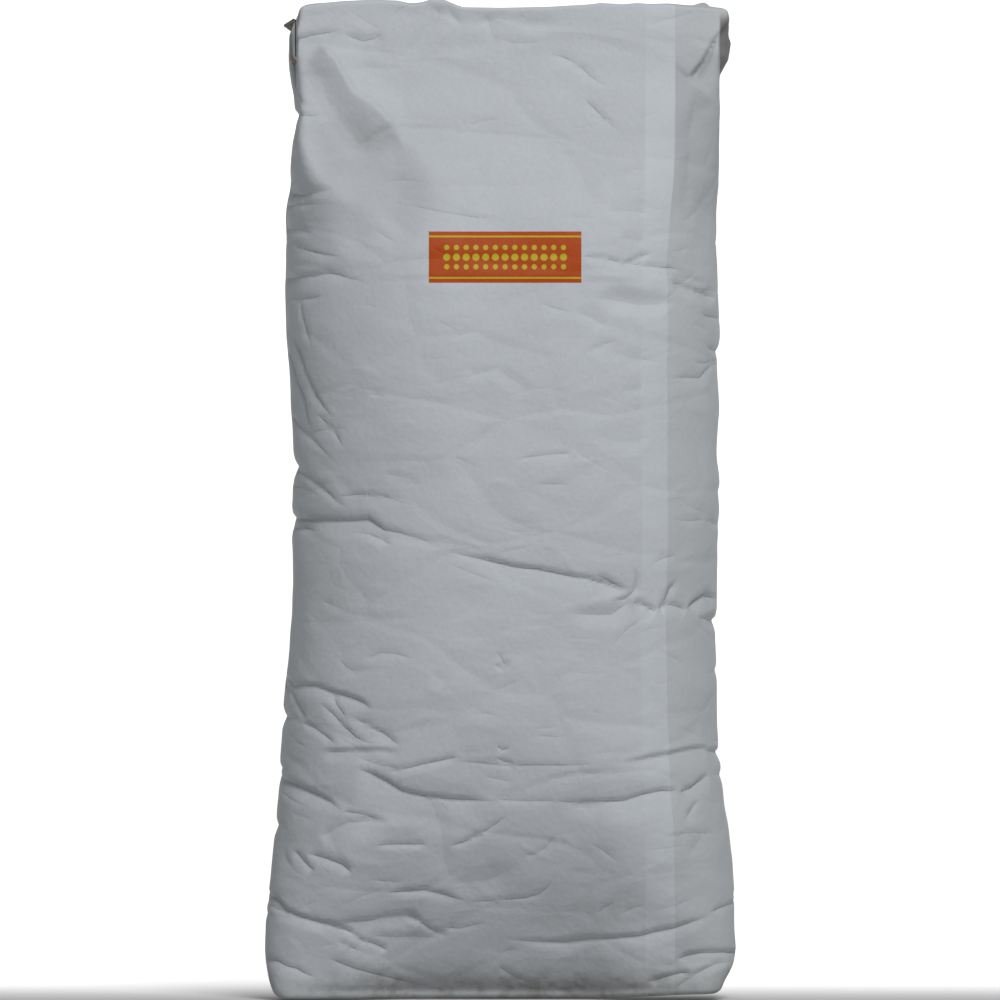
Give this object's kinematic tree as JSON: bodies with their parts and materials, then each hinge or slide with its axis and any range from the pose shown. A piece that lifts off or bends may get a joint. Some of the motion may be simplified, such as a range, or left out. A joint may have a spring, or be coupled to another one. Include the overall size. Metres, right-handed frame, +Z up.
{
  "type": "bag of expanded glass granules",
  "caption": "Tall filled paper valve sack of lightweight expanded glass granules, standing upright on its pasted block bottom.",
  "frame": {"origin": "middle of the base, on the floor the sack stands on", "axes": "+Z up along the sack's height, +X to the right along the wide front face as seen from the front, +Y from the front face to the back face, so the front with the glued tube seam faces -Y"},
  "size_m": [0.3996, 0.245, 0.846],
  "materials": {
    "white_paper": "satin",
    "kraft_paper": "matte",
    "glass_granules": "matte"
  },
  "bodies": {
    "root": {"sack": "white_paper", "granule_fill": "glass_granules", "bottom_cover_sheet": "white_paper", "top_cover_sheet": "white_paper", "valve_sleeve": "kraft_paper"}
  },
  "joints": []
}
